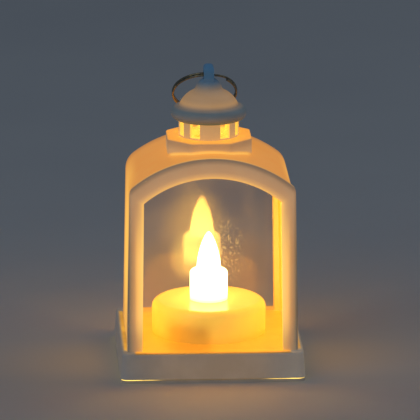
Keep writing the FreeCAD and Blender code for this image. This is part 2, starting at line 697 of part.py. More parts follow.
def make_battery_door():
    middle, long, wide = door_plan()
    tray_middle, tray_long, tray_wide = tray_plan()
    slab = block("door_slab", (long, wide, "door_thick - fit_gap"), (middle, "0"), "fit_gap")
    shrink = "2 * fit_gap"
    plug_wide = f"{tray_wide} - {shrink}"
    plug = block("door_plug", (f"{tray_long} - {shrink}", plug_wide, "cell_low - 2 * fit_gap"),
                 (tray_middle, "0"), "fit_gap")
    hole = rod("door_pin_hole", "pin_radius + fit_gap", "plate_thick", (pin_place(), "0", "0"))
    sink = rod("door_pin_sink", "pin_head + fit_gap", "pin_head_thick",
               (pin_place(), "0", "fit_gap"))
    grips = []
    for n in range(round(size("grip_count"))):
        x = f"({tray_middle}) - ({tray_long}) / 3 + {n} * grip_pitch"
        grips.append(block(f"grip{n}", ("grip_wide", "grip_long", "grip_deep"), (x, "0"), "fit_gap"))
    keep(cut("door_cut", join("door_whole", [slab, plug]), [hole, sink, *grips]), "battery_door")


def make_door_screw():
    foot = "2 * bore_gap + fit_gap"
    shank = rod("pin_shank", "pin_radius", "pin_long", (pin_place(), "0", foot))
    head_tall = "pin_head_thick - 2 * bore_gap"
    head = rod("pin_head_rod", "pin_head", head_tall, (pin_place(), "0", foot))
    cross = cross_slot("pin_cross", (pin_place(), "0"), foot)
    keep(cut("pin_cut", join("pin_whole", [shank, head]), cross), "door_screw")


def make_switch():
    middle = ("switch_place", "0")
    body = block("switch_box", ("switch_wide", "switch_long", "switch_tall"), middle, "plate_thick")
    room = ("switch_wide - 2 * switch_wall", "switch_long - 2 * switch_wall")
    cavity = block("switch_room", (*room, "switch_tall - switch_wall"), middle, "plate_thick")
    terminal = ("terminal_wide", "terminal_thick", "terminal_long + switch_wall / 2")
    pins = []
    for n in (-1, 0, 1):
        pins.append(block(f"terminal{n + 1}", terminal, ("switch_place", f"{n} * terminal_pitch"),
                          "plate_thick + switch_tall - switch_wall / 2"))
    keep(cut("switch_cut", join("switch_whole", [body, *pins]), [cavity]), "switch_body")
    rest = "switch_travel / 2"
    carriage_foot = "plate_thick + fit_gap"
    carriage = block(
        "carriage",
        ("switch_wide - 2 * switch_wall - 2 * fit_gap", "carriage_long", "carriage_tall"),
        ("switch_place", rest), carriage_foot,
    )
    knob = block("knob", ("knob_wide", "knob_wide", f"{carriage_foot} + carriage_tall / 4 - knob_low"),
                 ("switch_place", rest), "knob_low")
    keep(join("slider_whole", [carriage, knob]), "switch_slider")


# Body


def octagon(wide, corner, foot, tall):
    """A square prism of this width with its corners cut, as a bound pair of boxes' common."""
    straight = block("octagon_square", (wide, wide, tall), ("0", "0"), foot)
    diagonal = f"(({wide}) - ({corner})) * sqrt(2)"
    turned = solid(
        "Box", "octagon_turned", {"Length": diagonal, "Width": diagonal, "Height": tall},
        ("0", f"-(({wide}) - ({corner}))", foot),
        FreeCAD.Rotation(Z_AXIS, 45),
    )
    both = doc.addObject("Part::MultiCommon", "octagon")
    both.Shapes = [straight, turned]
    return both


def at_collar_foot(edge, half, top):
    """Whether the edge is where the collar's walls meet the roof."""
    box = edge.BoundBox
    near = max(abs(box.XMin), abs(box.XMax), abs(box.YMin), abs(box.YMax)) < half + NEAR
    flat = box.ZLength < max(box.XLength, box.YLength)
    return near and flat and box.ZMax < top - size("wall") and box.ZMin > size("arch_centre")


def make_housing():
    outer = arch_body(
        "housing_outer", "body_rear", "body_rear + body_front",
        ("housing_foot", "housing_shoulder", "roof_radius", "plinth_top"),
    )
    low = size("plinth_top") + size("shoulder_rise")
    shoulders = rounded("housing_shoulders", outer, size("shoulder_round"),
                        lambda edge: along_depth(edge, low))
    rear = size("body_rear")
    base = size("plinth_top")
    soft = rounded("housing_soft", shoulders, size("rear_round"),
                   lambda edge: on_plane(edge, rear) and not level(edge, base))
    collar_foot = "arch_centre + roof_radius - 2 * wall"
    collar = octagon("collar_width", "collar_cut", collar_foot, f"collar_top - ({collar_foot})")
    top = size("collar_top")
    corners = rounded("collar_corners", collar, size("collar_corner"), upright)
    collar_soft = rounded("collar_soft", corners, size("collar_round"), lambda edge: level(edge, top))
    body = join("housing_body", [soft, collar_soft])
    half = size("collar_width") / 2
    blended = rounded("collar_blend", body, size("collar_fillet"),
                      lambda edge: at_collar_foot(edge, half, top))
    parts = [blended]
    lug = ("lug_thick", "lug_wide", "lug_long + wall / 2")
    for n, (x, y) in enumerate(corners_of("housing_foot - wall / 2", "lug_place")):
        parts.append(block(f"lug{n}", lug, (x, y), "plinth_top - lug_long"))
    inner = arch_body(
        "housing_inner", "body_rear - wall", "body_rear + body_front",
        ("housing_foot - wall", "housing_shoulder - wall", "roof_radius - wall", "plinth_top"),
    )
    inner_shoulders = rounded("inner_shoulders", inner, size("shoulder_round") - size("wall"),
                              lambda edge: along_depth(edge, low))
    inner_rear = size("body_rear") - size("wall")
    room = rounded(
        "housing_room", inner_shoulders, size("rear_round") - size("wall"),
        lambda edge: on_plane(edge, inner_rear) and not level(edge, base),
    )
    window = arch_body(
        "rear_window", "body_rear + wall", "2 * (wall + rear_round)",
        ("opening_foot", "opening_shoulder", "opening_radius", "plinth_top"),
    )
    attic = rod("collar_room", "collar_width / 2 - wall", "collar_top - wall - arch_centre",
                ("0", "0", "arch_centre"))
    way = rod("collar_way", "spigot_radius + fit_gap", "2 * wall",
              ("0", "0", "collar_top - 1.5 * wall"))
    keep(cut("housing_cut", join("housing_whole", parts), [room, window, attic, way]), "housing")


def outer_shoulder(edge, inside):
    """Whether the edge runs front to back on the shoulder, further out than this."""
    low = size("plinth_top") + size("shoulder_rise")
    return along_depth(edge, low) and abs(edge.BoundBox.Center.x) > inside


def within_frame(shoulder_half):
    """Half width of a line that runs midway between a frame's shoulder and its window's."""
    return (evaluated(shoulder_half) + size("opening_shoulder")) / 2


def arch_frame(name, rear, long, outer, margin):
    """An arched frame, open at the foot, whose window is this much larger than the opening."""
    whole = arch_body(name + "_whole", rear, long, outer)
    window = arch_body(
        name + "_window", f"({rear}) + wall", f"({long}) + 2 * wall",
        (f"opening_foot + {margin}", f"opening_shoulder + {margin}",
         f"opening_radius + {margin}", "plinth_top"),
    )
    return cut(name, whole, [window])


def make_front_bezel():
    front = "-(body_front)"
    frame = arch_frame("bezel_frame", front, "bezel_thick",
                       ("bezel_foot", "bezel_shoulder", "bezel_radius", "plinth_top"), "0")
    inside = within_frame("bezel_shoulder")
    corner = rounded("bezel_corners", frame, size("bezel_corner"),
                     lambda edge: outer_shoulder(edge, inside))
    face = -size("body_front") - size("bezel_thick")
    window = size("arch_centre") + (size("opening_radius") + size("bezel_radius")) / 2
    base = size("plinth_top")
    soft = rounded(
        "bezel_soft", corner, size("bezel_round"),
        lambda edge: on_plane(edge, face) and not level(edge, base)
        and (edge.BoundBox.ZMax > window or abs(edge.BoundBox.Center.x) > inside),
    )
    margin = "(pane_lap + 2 * fit_gap)"
    lip = arch_frame(
        "bezel_lip", f"{front} + lip_deep", "lip_deep + bezel_thick / 2",
        ("housing_foot - wall - fit_gap", "housing_shoulder - wall - fit_gap",
         "roof_radius - wall - fit_gap", "plinth_top"),
        margin,
    )
    inside = evaluated(f"(opening_shoulder + {margin} + housing_shoulder - wall) / 2")
    lip_soft = rounded("bezel_lip_soft", lip, size("shoulder_round") - size("wall"),
                       lambda edge: outer_shoulder(edge, inside))
    keep(join("bezel_whole", [soft, lip_soft]), "front_bezel")


def make_pane(label, rear):
    """A clear film whose edge lies hidden behind the window's frame."""
    outline = ("opening_foot + pane_lap", "opening_shoulder + pane_lap",
               "opening_radius + pane_lap", "plinth_top + bore_gap")
    keep(arch_body(label + "_film", rear, "pane_thick", outline), label)


def make_rear_retainer():
    inset = "wall + retainer_inset"
    rear = "body_rear - wall - pane_thick"
    frame = arch_frame(
        "retainer_frame", rear, "retainer_thick",
        (f"housing_foot - ({inset})", f"housing_shoulder - ({inset})",
         f"roof_radius - ({inset})", "plinth_top"),
        "(2 * fit_gap)",
    )
    inside = within_frame(f"housing_shoulder - ({inset})")
    soft = rounded("retainer_soft", frame, size("retainer_corner"),
                   lambda edge: outer_shoulder(edge, inside))
    keep(soft, "rear_retainer")


def make_vent_drum():
    tube = rod("drum_tube", "drum_radius", "drum_top - collar_top", ("0", "0", "collar_top"))
    spigot = rod("drum_spigot", "spigot_radius", "wall + slot_low", ("0", "0", "collar_top - wall"))
    tools = [rod("drum_bore", "spigot_radius - drum_wall", "reach",
                 ("0", "0", "collar_top - reach / 2"))]
    upper = rod("drum_upper", "drum_radius - drum_wall", "reach",
                ("0", "0", "collar_top + slot_low"))
    tools.append(upper)
    half_turn = 180
    front = -90
    for n, centre in enumerate(("slot_first", "slot_second")):
        for side in (-1, 1):
            for end in (0, half_turn):
                middle = front + end + side * size(centre)
                turn = FreeCAD.Rotation(Z_AXIS, middle - size("slot_wide") / 2)
                sizes = {"Radius": "drum_radius + drum_wall", "Height": "reach", "Angle": "slot_wide"}
                name = f"slot{n}_{side + 1}_{end}"
                tools.append(solid("Cylinder", name, sizes,
                                   ("0", "0", "collar_top + slot_low"), turn))
    keep(cut("drum_cut", join("drum_whole", [tube, spigot]), tools), "vent_drum")


# Cap and ring


def make_cap():
    under = size("cap_under")
    roll = size("rim_radius")
    roll_x = size("cap_widest") - roll
    roll_z = under + roll
    bore = size("drum_radius") + size("fit_gap")
    ledge = size("drum_top")
    inner = size("drum_radius") - size("drum_wall") - size("fit_gap")
    wall = size("cap_wall")
    neck = (size("neck_radius"), size("neck_height"))
    step = (size("step_radius"), size("step_height"))
    waist = (size("waist_radius"), size("waist_height"))

    def point(spot):
        return FreeCAD.Vector(spot[0], 0, spot[1])

    def curve(start, bend, end):
        bezier = Part.BezierCurve()
        bezier.setPoles([point(start), point(bend), point(end)])
        return bezier.toShape()

    def line(start, end):
        return Part.LineSegment(point(start), point(end)).toShape()

    step_edge = (step[0], step[1] + size("band_rise"))
    step_low = (step[0] + size("band_lip"), step[1])
    crease_angle = math.radians(size("crease_angle"))
    crease = (roll_x + roll * math.cos(crease_angle), roll_z + roll * math.sin(crease_angle))
    roll_out = (roll_x + roll, roll_z)
    roll_low = (roll_x, under)
    crown = (0, step[1] - wall)
    shoulder = (inner, waist[1] - size("attic_foot"))
    edges = [
        line((0, neck[1]), neck),
        curve(neck, (neck[0] + size("neck_swell"), step_edge[1] + size("neck_drop")), step_edge),
        line(step_edge, step_low),
        curve(step_low, (waist[0] - size("dome_swell"), waist[1] + size("dome_lift")), waist),
        line(waist, crease),
        Part.Arc(point(crease), point(roll_out), point(roll_low)).toShape(),
        line(roll_low, (bore, under)),
        line((bore, under), (bore, ledge)),
        line((bore, ledge), (inner, ledge)),
        line((inner, ledge), shoulder),
        curve(shoulder, (inner - size("attic_swell"), crown[1] - size("attic_drop")), crown),
        line(crown, (0, neck[1])),
    ]
    face = Part.Face(Part.Wire(edges))
    dome = doc.addObject("Part::Feature", "cap_dome")
    dome.Shape = face.revolve(FreeCAD.Vector(), Z_AXIS, 360)
    tab_foot = "step_height"
    parts = []
    for name, wide, deep, along in (
        ("tab_side", "tab_thick", "tab_deep", "x"),
        ("tab_front", "tab_thick", "tab_deep", "y"),
    ):
        radius = f"({deep if along == 'x' else wide}) / 2"
        slab = block(name + "_slab", (wide, deep, f"tab_top - {radius} - {tab_foot}"),
                     ("0", "0"), tab_foot)
        if along == "x":
            turn = TO_X
            at = (f"-({wide}) / 2", "0", f"tab_top - {radius}")
            long = wide
        else:
            turn = FreeCAD.Rotation(FreeCAD.Vector(1, 0, 0), -90)
            at = ("0", f"-({deep}) / 2", f"tab_top - {radius}")
            long = deep
        parts.append(join(name, [slab, rod(name + "_round", radius, long, at, turn)]))
    tab = doc.addObject("Part::MultiCommon", "tab")
    tab.Shapes = parts
    eye = rod("tab_eye", "eye_radius", "2 * tab_thick", ("-tab_thick", "0", "eye_height"), TO_X)
    keep(cut("cap_cut", join("cap_whole", [dome, tab]), [eye]), "cap")


def make_split_ring():
    lean = math.radians(size("ring_lean"))
    radius = size("ring_radius")
    shift = size("ring_shift")
    hang = math.sqrt(radius**2 - shift**2)
    down_back = FreeCAD.Vector(0, math.sin(lean), -math.cos(lean))
    eye = FreeCAD.Vector(0, 0, size("eye_height"))
    centre = eye + down_back * hang - FreeCAD.Vector(shift, 0, 0)
    turn = FreeCAD.Rotation(FreeCAD.Vector(1, 0, 0), size("ring_lean") - 90)
    coils = []
    for side in (-1, 1):
        coil = doc.addObject("Part::Torus", f"coil{side + 1}")
        coil.setExpression("Radius1", of("ring_radius"))
        coil.setExpression("Radius2", of("wire_radius"))
        offset = turn.multVec(Z_AXIS * (side * size("coil_pitch") / 2))
        coil.Placement = FreeCAD.Placement(centre + offset, turn)
        coils.append(coil)
    slit = doc.addObject("Part::Box", "ring_slit")
    slit.setExpression("Length", of("4 * wire_radius"))
    slit.setExpression("Width", of("split_gap"))
    slit.setExpression("Height", of("wire_radius * 2"))
    slit_turn = FreeCAD.Rotation(Z_AXIS, size("slit_turn"))
    arm = FreeCAD.Vector(radius - 2 * size("wire_radius"), -size("split_gap") / 2, size("slit_foot"))
    slit.Placement = FreeCAD.Placement(
        centre + turn.multVec(slit_turn.multVec(arm)), turn.multiply(slit_turn)
    )
    keep(cut("ring_cut", join("ring_whole", coils), [slit]), "split_ring")


# Leads


def bent_path(points):
    """Straight runs joined by tangent arcs, as large as the two runs at each turn allow."""
    edges = []
    start = points[0]
    for before, corner, after in zip(points, points[1:], points[2:]):
        arrive = (corner - before).normalize()
        leave = (after - corner).normalize()
        half_turn = arrive.getAngle(leave) / 2
        run = min((corner - before).Length, (after - corner).Length)
        setback = BEND_SHARE * run
        radius = setback / math.tan(half_turn)
        begin = corner - arrive * setback
        end = corner + leave * setback
        bisector = (leave - arrive).normalize()
        centre_away = math.hypot(radius, setback)
        middle = corner + bisector * (centre_away - radius)
        edges.append(Part.LineSegment(start, begin).toShape())
        edges.append(Part.Arc(begin, middle, end).toShape())
        start = end
        print(f"lead bend radius {radius:.1f}")
    edges.append(Part.LineSegment(start, points[-1]).toShape())
    return Part.Wire(edges)


def make_lead(label, points):
    """An insulated lead from one soldered end to the other."""
    route = [FreeCAD.Vector(*spot) for spot in points]
    path = bent_path(route)
    radius = size("lead_radius")
    first = (route[1] - route[0]).normalize()
    circle = Part.Wire(Part.Circle(route[0], first, radius).toShape())
    tube = path.makePipeShell([circle], True, False)
    expected = path.Length * math.pi * radius**2
    print(f"{label} volume {tube.Volume:.2f}, section times length {expected:.2f}")
    shaped(label, tube)


def make_leads():
    left, right = tray_ends()
    left_tag = evaluated(f"({left}) + contact_thick / 2")
    right_tag = evaluated(f"({right}) - contact_thick / 2")
    tag_top = evaluated("cell_low + 2 * cell_radius + tag_rise")
    leg = size("leg_spread")
    leg_foot = size("leg_foot")
    under = evaluated("cup_top - cup_wall - lead_drop")
    switch = size("switch_place")
    pin_top = evaluated("plate_thick + switch_tall + terminal_long")
    make_lead("positive_lead", [
        (left_tag, 0, tag_top), (left_tag, 0, tag_top + 2.2), (left_tag + 3.0, 0, under - 0.2),
        (left_tag + 7.2, 0, under), (-leg - 2.6, 0, under + 0.5), (-leg, 0, under + 3.0),
        (-leg, 0, leg_foot),
    ])
    make_lead("negative_lead", [
        (right_tag, 0, tag_top), (right_tag, 0, tag_top + 1.6),
        (right_tag + 2.2, -0.8, tag_top + 2.8), (right_tag + 5.7, -1.8, tag_top + 1.4),
        (switch - 0.8, -2.5, tag_top - 1.6), (switch, -2.5, pin_top + 3.2),
        (switch, -2.5, pin_top),
    ])
    make_lead("switch_lead", [
        (switch, 0, pin_top), (switch, 0, pin_top + 3.4), (switch - 1.0, 0.8, pin_top + 7.0),
        (switch - 4.0, 1.2, under - 2.2), (switch - 8.0, 0.8, under - 0.2),
        (leg + 1.6, 0, under + 1.0), (leg, 0, under + 3.2), (leg, 0, leg_foot),
    ])


def check_everything():
    """Stops if any object failed or any piece is not a valid solid."""
    for made in doc.Objects:
        if {"Invalid", "Error"} & set(made.State):
            raise RuntimeError(f"{made.Name} failed: {made.State}")
    for made in pieces:
        if made.Shape.isNull() or not made.Shape.isValid() or not made.Shape.Solids:
            raise RuntimeError(f"{made.Label} has no valid solid")


make_plinth()
make_base_plate()
make_base_screws()
make_candle_cup()
make_candle_stub()
make_flame_cover()
make_lamp()
make_cells()
make_battery_tray()
make_contacts()
make_contact_spring()
make_battery_door()
make_door_screw()
make_switch()
make_leads()
make_housing()
make_front_bezel()
make_pane("front_pane", "-(body_front - pane_thick)")
make_pane("rear_pane", "body_rear - wall")
make_rear_retainer()
make_vent_drum()
make_cap()
make_split_ring()
doc.recompute()
check_everything()

os.makedirs("parts", exist_ok=True)
for made in pieces:
    made.Shape.exportStep(f"parts/{made.Label}.step")
    solids = len(made.Shape.Solids)
    print(f"{made.Label}: {solids} solid, {made.Shape.Volume:.1f} mm3")
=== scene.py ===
import math

import bmesh
import bpy
from mathutils import Matrix, Vector


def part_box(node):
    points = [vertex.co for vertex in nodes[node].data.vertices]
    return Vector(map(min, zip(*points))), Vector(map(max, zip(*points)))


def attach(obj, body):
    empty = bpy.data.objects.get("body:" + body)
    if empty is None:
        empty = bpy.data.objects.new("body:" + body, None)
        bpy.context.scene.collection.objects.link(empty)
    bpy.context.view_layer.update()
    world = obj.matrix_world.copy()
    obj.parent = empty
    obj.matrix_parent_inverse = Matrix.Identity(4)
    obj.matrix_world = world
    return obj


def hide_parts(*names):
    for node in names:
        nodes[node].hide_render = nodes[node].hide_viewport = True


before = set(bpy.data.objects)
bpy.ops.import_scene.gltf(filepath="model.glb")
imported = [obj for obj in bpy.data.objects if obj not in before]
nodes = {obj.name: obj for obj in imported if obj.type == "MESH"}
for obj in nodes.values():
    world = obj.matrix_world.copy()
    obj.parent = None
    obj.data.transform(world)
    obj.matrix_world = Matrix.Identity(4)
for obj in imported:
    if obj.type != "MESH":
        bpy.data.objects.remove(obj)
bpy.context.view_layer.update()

# Base plate. A flat moulding in translucent white plastic that closes the plinth from below,
# with a lip that stays 0.3 mm short of the plinth; the lamplight that leaks out there at the
# corners is painted as a patchy glow along the seam.
# Four small pan head screws pull it up against the plinth's bosses.

MM = 0.001
WHITE = (0.80, 0.77, 0.70, 1)
LAMPLIGHT = (1.0, 0.62, 0.10, 1)
LIP_TOP = 1.2 * MM
SEAM_HIGH = LIP_TOP - 0.1 * MM, LIP_TOP - 0.02 * MM
SEAM_ASIDE = 18 * MM, 28 * MM


def new_material(name):
    """A material with its tree and its one Principled shader."""
    made = bpy.data.materials.new(name)
    made.use_nodes = True
    return made, made.node_tree, made.node_tree.nodes["Principled BSDF"]


def add(tree, kind, **settings):
    """A node of this kind, with its properties set."""
    made = tree.nodes.new("ShaderNode" + kind)
    for key, value in settings.items():
        setattr(made, key, value)
    return made


def feed(tree, socket, value):
    """Links a socket to the value, or sets the value on it."""
    if isinstance(value, bpy.types.NodeSocket):
        tree.links.new(value, socket)
    else:
        socket.default_value = value


def calc(tree, operation, *values):
    """One Math node."""
    made = add(tree, "Math", operation=operation)
    for socket, value in zip(made.inputs, values):
        feed(tree, socket, value)
    return made.outputs[0]


def between(tree, value, low, high):
    """0 where the value is at low, 1 where it is at high, smooth in between."""
    made = add(tree, "MapRange", interpolation_type="SMOOTHSTEP")
    feed(tree, made.inputs["Value"], value)
    made.inputs["From Min"].default_value = low
    made.inputs["From Max"].default_value = high
    return made.outputs["Result"]


def until(tree, value, low, high):
    """1 where the value is at low, 0 where it is at high, smooth in between."""
    return calc(tree, "SUBTRACT", 1.0, between(tree, value, low, high))


def together(tree, first, *others):
    """The product of several shares: 1 only where all of them are."""
    for other in others:
        first = calc(tree, "MULTIPLY", first, other)
    return first


def mixed(tree, share, first, second):
    """A colour between two others."""
    made = add(tree, "Mix", data_type="RGBA")
    feed(tree, made.inputs["Factor"], share)
    feed(tree, made.inputs[6], first)
    feed(tree, made.inputs[7], second)
    return made.outputs[2]


def paint(tree, shader, share, first, second):
    """A base colour between two others."""
    feed(tree, shader.inputs["Base Color"], mixed(tree, share, first, second))


def size_of(tree, value):
    """The value without its sign."""
    return calc(tree, "ABSOLUTE", value)


def reach(tree, first, second):
    """How far a point is from the middle, from its distances in two directions."""
    squares = [calc(tree, "MULTIPLY", value, value) for value in (first, second)]
    return calc(tree, "SQRT", calc(tree, "ADD", *squares))


def place(tree):
    """The point's object coordinates and its x, y and z."""
    coordinates = add(tree, "TexCoord").outputs["Object"]
    split = add(tree, "SeparateXYZ")
    tree.links.new(coordinates, split.inputs[0])
    return coordinates, split.outputs[0], split.outputs[1], split.outputs[2]


def noise(tree, coordinates, scale, detail=3.0):
    """A noise value of about scale bumps to the metre."""
    made = add(tree, "TexNoise")
    tree.links.new(coordinates, made.inputs["Vector"])
    made.inputs["Scale"].default_value = scale
    made.inputs["Detail"].default_value = detail
    return made.outputs["Fac"]


def moulded(tree, shader, coordinates, colour, rough=0.42, grain=0.00003):
    """Moulded plastic: clouded colour, patchy gloss and the fine grain of a spark-eroded mould."""
    cloud = noise(tree, coordinates, 90, 4)
    dulled = add(tree, "Mix", data_type="RGBA", blend_type="MULTIPLY")
    feed(tree, dulled.inputs["Factor"], between(tree, cloud, 0.35, 0.65))
    feed(tree, dulled.inputs[6], colour)
    dulled.inputs[7].default_value = (0.9, 0.9, 0.9, 1)
    feed(tree, shader.inputs["Base Color"], dulled.outputs[2])
    gloss = noise(tree, coordinates, 260, 5)
    spread = add(tree, "MapRange")
    feed(tree, spread.inputs["Value"], gloss)
    spread.inputs["To Min"].default_value = rough - 0.08
    spread.inputs["To Max"].default_value = rough + 0.12
    feed(tree, shader.inputs["Roughness"], spread.outputs["Result"])
    bump = add(tree, "Bump")
    bump.inputs["Strength"].default_value = 0.35
    bump.inputs["Distance"].default_value = grain
    feed(tree, bump.inputs["Height"], noise(tree, coordinates, 3200, 2))
    feed(tree, shader.inputs["Normal"], bump.outputs["Normal"])


def glow(tree, shader, colour, strength=1.0):
    """Emission: the lamp's own light, or painted lamplight that stands for light coming through the
    plastic.
    """
    feed(tree, shader.inputs["Emission Color"], colour)
    shader.inputs["Emission Strength"].default_value = strength


def finish_with(material, *names):
    """Gives CAD nodes this material in every slot."""
    for name in names:
        mesh = nodes[name].data
        mesh.materials.clear()
        mesh.materials.append(material)


base_plastic, tree, shader = new_material("base_plate_plastic")
where, x, y, z = place(tree)
moulded(tree, shader, where, WHITE)
# Painted light: a patchy lamplight glow along the seam between plate and plinth.
painted_seam_glow = together(tree, between(tree, z, *SEAM_HIGH), between(tree, size_of(tree, x), *SEAM_ASIDE),
                between(tree, noise(tree, where, 120, 2), 0.25, 0.5))
glow(tree, shader, mixed(tree, painted_seam_glow, (0.02, 0.01, 0, 1), LAMPLIGHT), 1.4)
finish_with(base_plastic, "base_plate")

screw_steel, tree, shader = new_material("zinc_plated_steel")
where = place(tree)[0]
patches = between(tree, noise(tree, where, 900, 4), 0.4, 0.7)
paint(tree, shader, patches, (0.62, 0.63, 0.64, 1), (0.42, 0.41, 0.38, 1))
feed(tree, shader.inputs["Roughness"], calc(tree, "MULTIPLY_ADD", patches, 0.25, 0.22))
shader.inputs["Metallic"].default_value = 1.0
turning = add(tree, "Bump")
turning.inputs["Strength"].default_value = 0.3
turning.inputs["Distance"].default_value = 0.00002
feed(tree, turning.inputs["Height"], noise(tree, where, 5200, 2))
feed(tree, shader.inputs["Normal"], turning.outputs["Normal"])
finish_with(screw_steel, "base_screws", "door_screw")

# Battery compartment. A thin tray moulded in the same plastic, closed from below by a ribbed
# door with one screw. Three alkaline button cells lie in a row between a spring and a flat
# strip, both stamped from nickel-plated steel.

tray_plastic, tree, shader = new_material("battery_tray_plastic")
moulded(tree, shader, place(tree)[0], (0.74, 0.70, 0.62, 1), 0.5)
finish_with(tray_plastic, "battery_tray", "battery_door")

cell_steel, tree, shader = new_material("button_cell_steel")
where = place(tree)[0]
shader.inputs["Metallic"].default_value = 1.0
handling = between(tree, noise(tree, where, 420, 5), 0.45, 0.75)
paint(tree, shader, handling, (0.70, 0.70, 0.69, 1), (0.50, 0.49, 0.46, 1))
brushed = add(tree, "TexWave", wave_type="RINGS", rings_direction="X")
tree.links.new(where, brushed.inputs["Vector"])
brushed.inputs["Scale"].default_value = 1100
brushed.inputs["Distortion"].default_value = 2.0
feed(tree, shader.inputs["Roughness"], calc(tree, "MULTIPLY_ADD", brushed.outputs["Fac"], 0.1, 0.2))
finish_with(cell_steel, "button_cell_1", "button_cell_2", "button_cell_3")

nickel, tree, shader = new_material("nickel_strip")
where = place(tree)[0]
shader.inputs["Metallic"].default_value = 1.0
tarnish = between(tree, noise(tree, where, 700, 4), 0.5, 0.8)
paint(tree, shader, tarnish, (0.66, 0.62, 0.52, 1), (0.42, 0.36, 0.26, 1))
feed(tree, shader.inputs["Roughness"], calc(tree, "MULTIPLY_ADD", tarnish, 0.3, 0.25))
finish_with(nickel, "positive_contact", "negative_contact", "contact_spring")

# Switch and wiring. A small slide switch stands on the base plate with its knob through a
# slot in the underside. Two leads go up to the lamp and one joins the switch to the cells,
# all in soft vinyl.


def toned(colour, share):
    """The same colour, darker."""
    return [share * channel for channel in colour[:3]] + [1]


def coloured(name, colour, rough, cloudiness):
    """A material whose colour and gloss vary in small patches."""
    made, tree, shader = new_material(name)
    where = place(tree)[0]
    patches = between(tree, noise(tree, where, cloudiness, 4), 0.35, 0.7)
    paint(tree, shader, patches, colour, toned(colour, 0.72))
    feed(tree, shader.inputs["Roughness"], calc(tree, "MULTIPLY_ADD", patches, 0.15, rough))
    bump = add(tree, "Bump")
    bump.inputs["Strength"].default_value = 0.25
    bump.inputs["Distance"].default_value = 0.00003
    feed(tree, bump.inputs["Height"], noise(tree, where, 2600, 2))
    feed(tree, shader.inputs["Normal"], bump.outputs["Normal"])
    return made


finish_with(coloured("switch_nylon", (0.028, 0.027, 0.026, 1), 0.45, 500), "switch_body")
finish_with(coloured("slider_nylon", (0.05, 0.048, 0.046, 1), 0.5, 800), "switch_slider")
finish_with(coloured("red_vinyl", (0.46, 0.025, 0.02, 1), 0.4, 600), "positive_lead")
finish_with(coloured("black_vinyl", (0.02, 0.02, 0.021, 1), 0.4, 600),
            "negative_lead", "switch_lead")

# Lamp. One clear yellow resin bullet lamp with its two legs pushed through a disc that holds
# it upright inside the candle stub.

lamp_resin, tree, shader = new_material("lamp_resin")
where = place(tree)[0]
streaks = between(tree, noise(tree, where, 700, 3), 0.3, 0.7)
paint(tree, shader, streaks, (1.0, 0.82, 0.42, 1), (1.0, 0.66, 0.24, 1))
feed(tree, shader.inputs["Roughness"], calc(tree, "MULTIPLY_ADD", streaks, 0.08, 0.12))
glow(tree, shader, (1.0, 0.66, 0.22, 1), 6.0)
finish_with(lamp_resin, "led_lamp")

finish_with(coloured("holder_plastic", (0.72, 0.66, 0.52, 1), 0.5, 300), "lamp_holder")

# Candle. A hollow cup with a flange that the base plate's ribs clamp, a stub that plugs into
# its top and a thin flame cover over the lamp. Cup and stub are wax-coloured plastic and all
# three are lit from within: the flame cover glows as the lamp, while the glow of cup and stub is
# painted lamplight. The row of cells is a painted shadow, a darker patch low in the cup.

# Where the painted shadow of the cells falls on the cup and the deck.
CELLS_MIDDLE = Vector((-8.6, 0, 13.5)) * MM
CELLS_WIDE = 4.5 * MM, 10.5 * MM
CELLS_TALL = 1.5 * MM, 8.5 * MM
CUP_FRONT = -14 * MM, -4 * MM
CUP_SIDE = 11 * MM, 22 * MM
CUP_FOOT = 11.2 * MM, 15 * MM

cup_wax, tree, shader = new_material("candle_cup_wax")
where, x, y, z = place(tree)
moulded(tree, shader, where, (0.80, 0.62, 0.28, 1), 0.3, 0.00002)
shader.inputs["Coat Weight"].default_value = 0.3
shader.inputs["Coat Roughness"].default_value = 0.12
# Painted shadow of the cells, low in the front of the cup.
beside = size_of(tree, calc(tree, "SUBTRACT", x, CELLS_MIDDLE.x))
above = size_of(tree, calc(tree, "SUBTRACT", z, CELLS_MIDDLE.z))
painted_cell_shadow = together(tree, until(tree, beside, *CELLS_WIDE), until(tree, above, *CELLS_TALL),
                  until(tree, y, *CUP_FRONT))
# Painted lamplight: paler and yellower higher up the sides, more orange at the foot.
painted_cup_glow = mixed(tree, between(tree, z, *CUP_SIDE), (0.78, 0.38, 0.022, 1), (0.80, 0.45, 0.036, 1))
painted_cup_glow = mixed(tree, between(tree, z, *CUP_FOOT), (0.78, 0.29, 0.012, 1), painted_cup_glow)
glow(tree, shader, mixed(tree, painted_cell_shadow, painted_cup_glow, (0.37, 0.17, 0.0, 1)), 0.85)
finish_with(cup_wax, "candle_cup")

STUB_FOOT = 22.5 * MM, 28 * MM

stub_wax, tree, shader = new_material("candle_stub_wax")
where, x, y, z = place(tree)
moulded(tree, shader, where, (0.86, 0.78, 0.56, 1), 0.3, 0.00002)
# Painted lamplight: dim where the stub sits in the cup, bright above it.
above_cup = between(tree, z, *STUB_FOOT)
glow(tree, shader, mixed(tree, above_cup, (0.16, 0.125, 0.05, 1), (1.0, 0.72, 0.24, 1)), 7.0)
finish_with(stub_wax, "candle_stub")

FLAME_LOW, FLAME_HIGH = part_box("flame_cover")
FLAME_RADIUS = (FLAME_HIGH.x - FLAME_LOW.x) / 2
FLAME_HEIGHT = FLAME_HIGH.z - FLAME_LOW.z
FLAME_OUTLINE = ((0.93, 0.0), (1.0, 0.09), (0.97, 0.24), (0.88, 0.42), (0.73, 0.60),
                 (0.54, 0.76), (0.34, 0.89), (0.16, 0.97), (0.0, 1.0))
FLAME_WALL = 0.8 * MM
FLAME_TOP = 36 * MM, 50 * MM

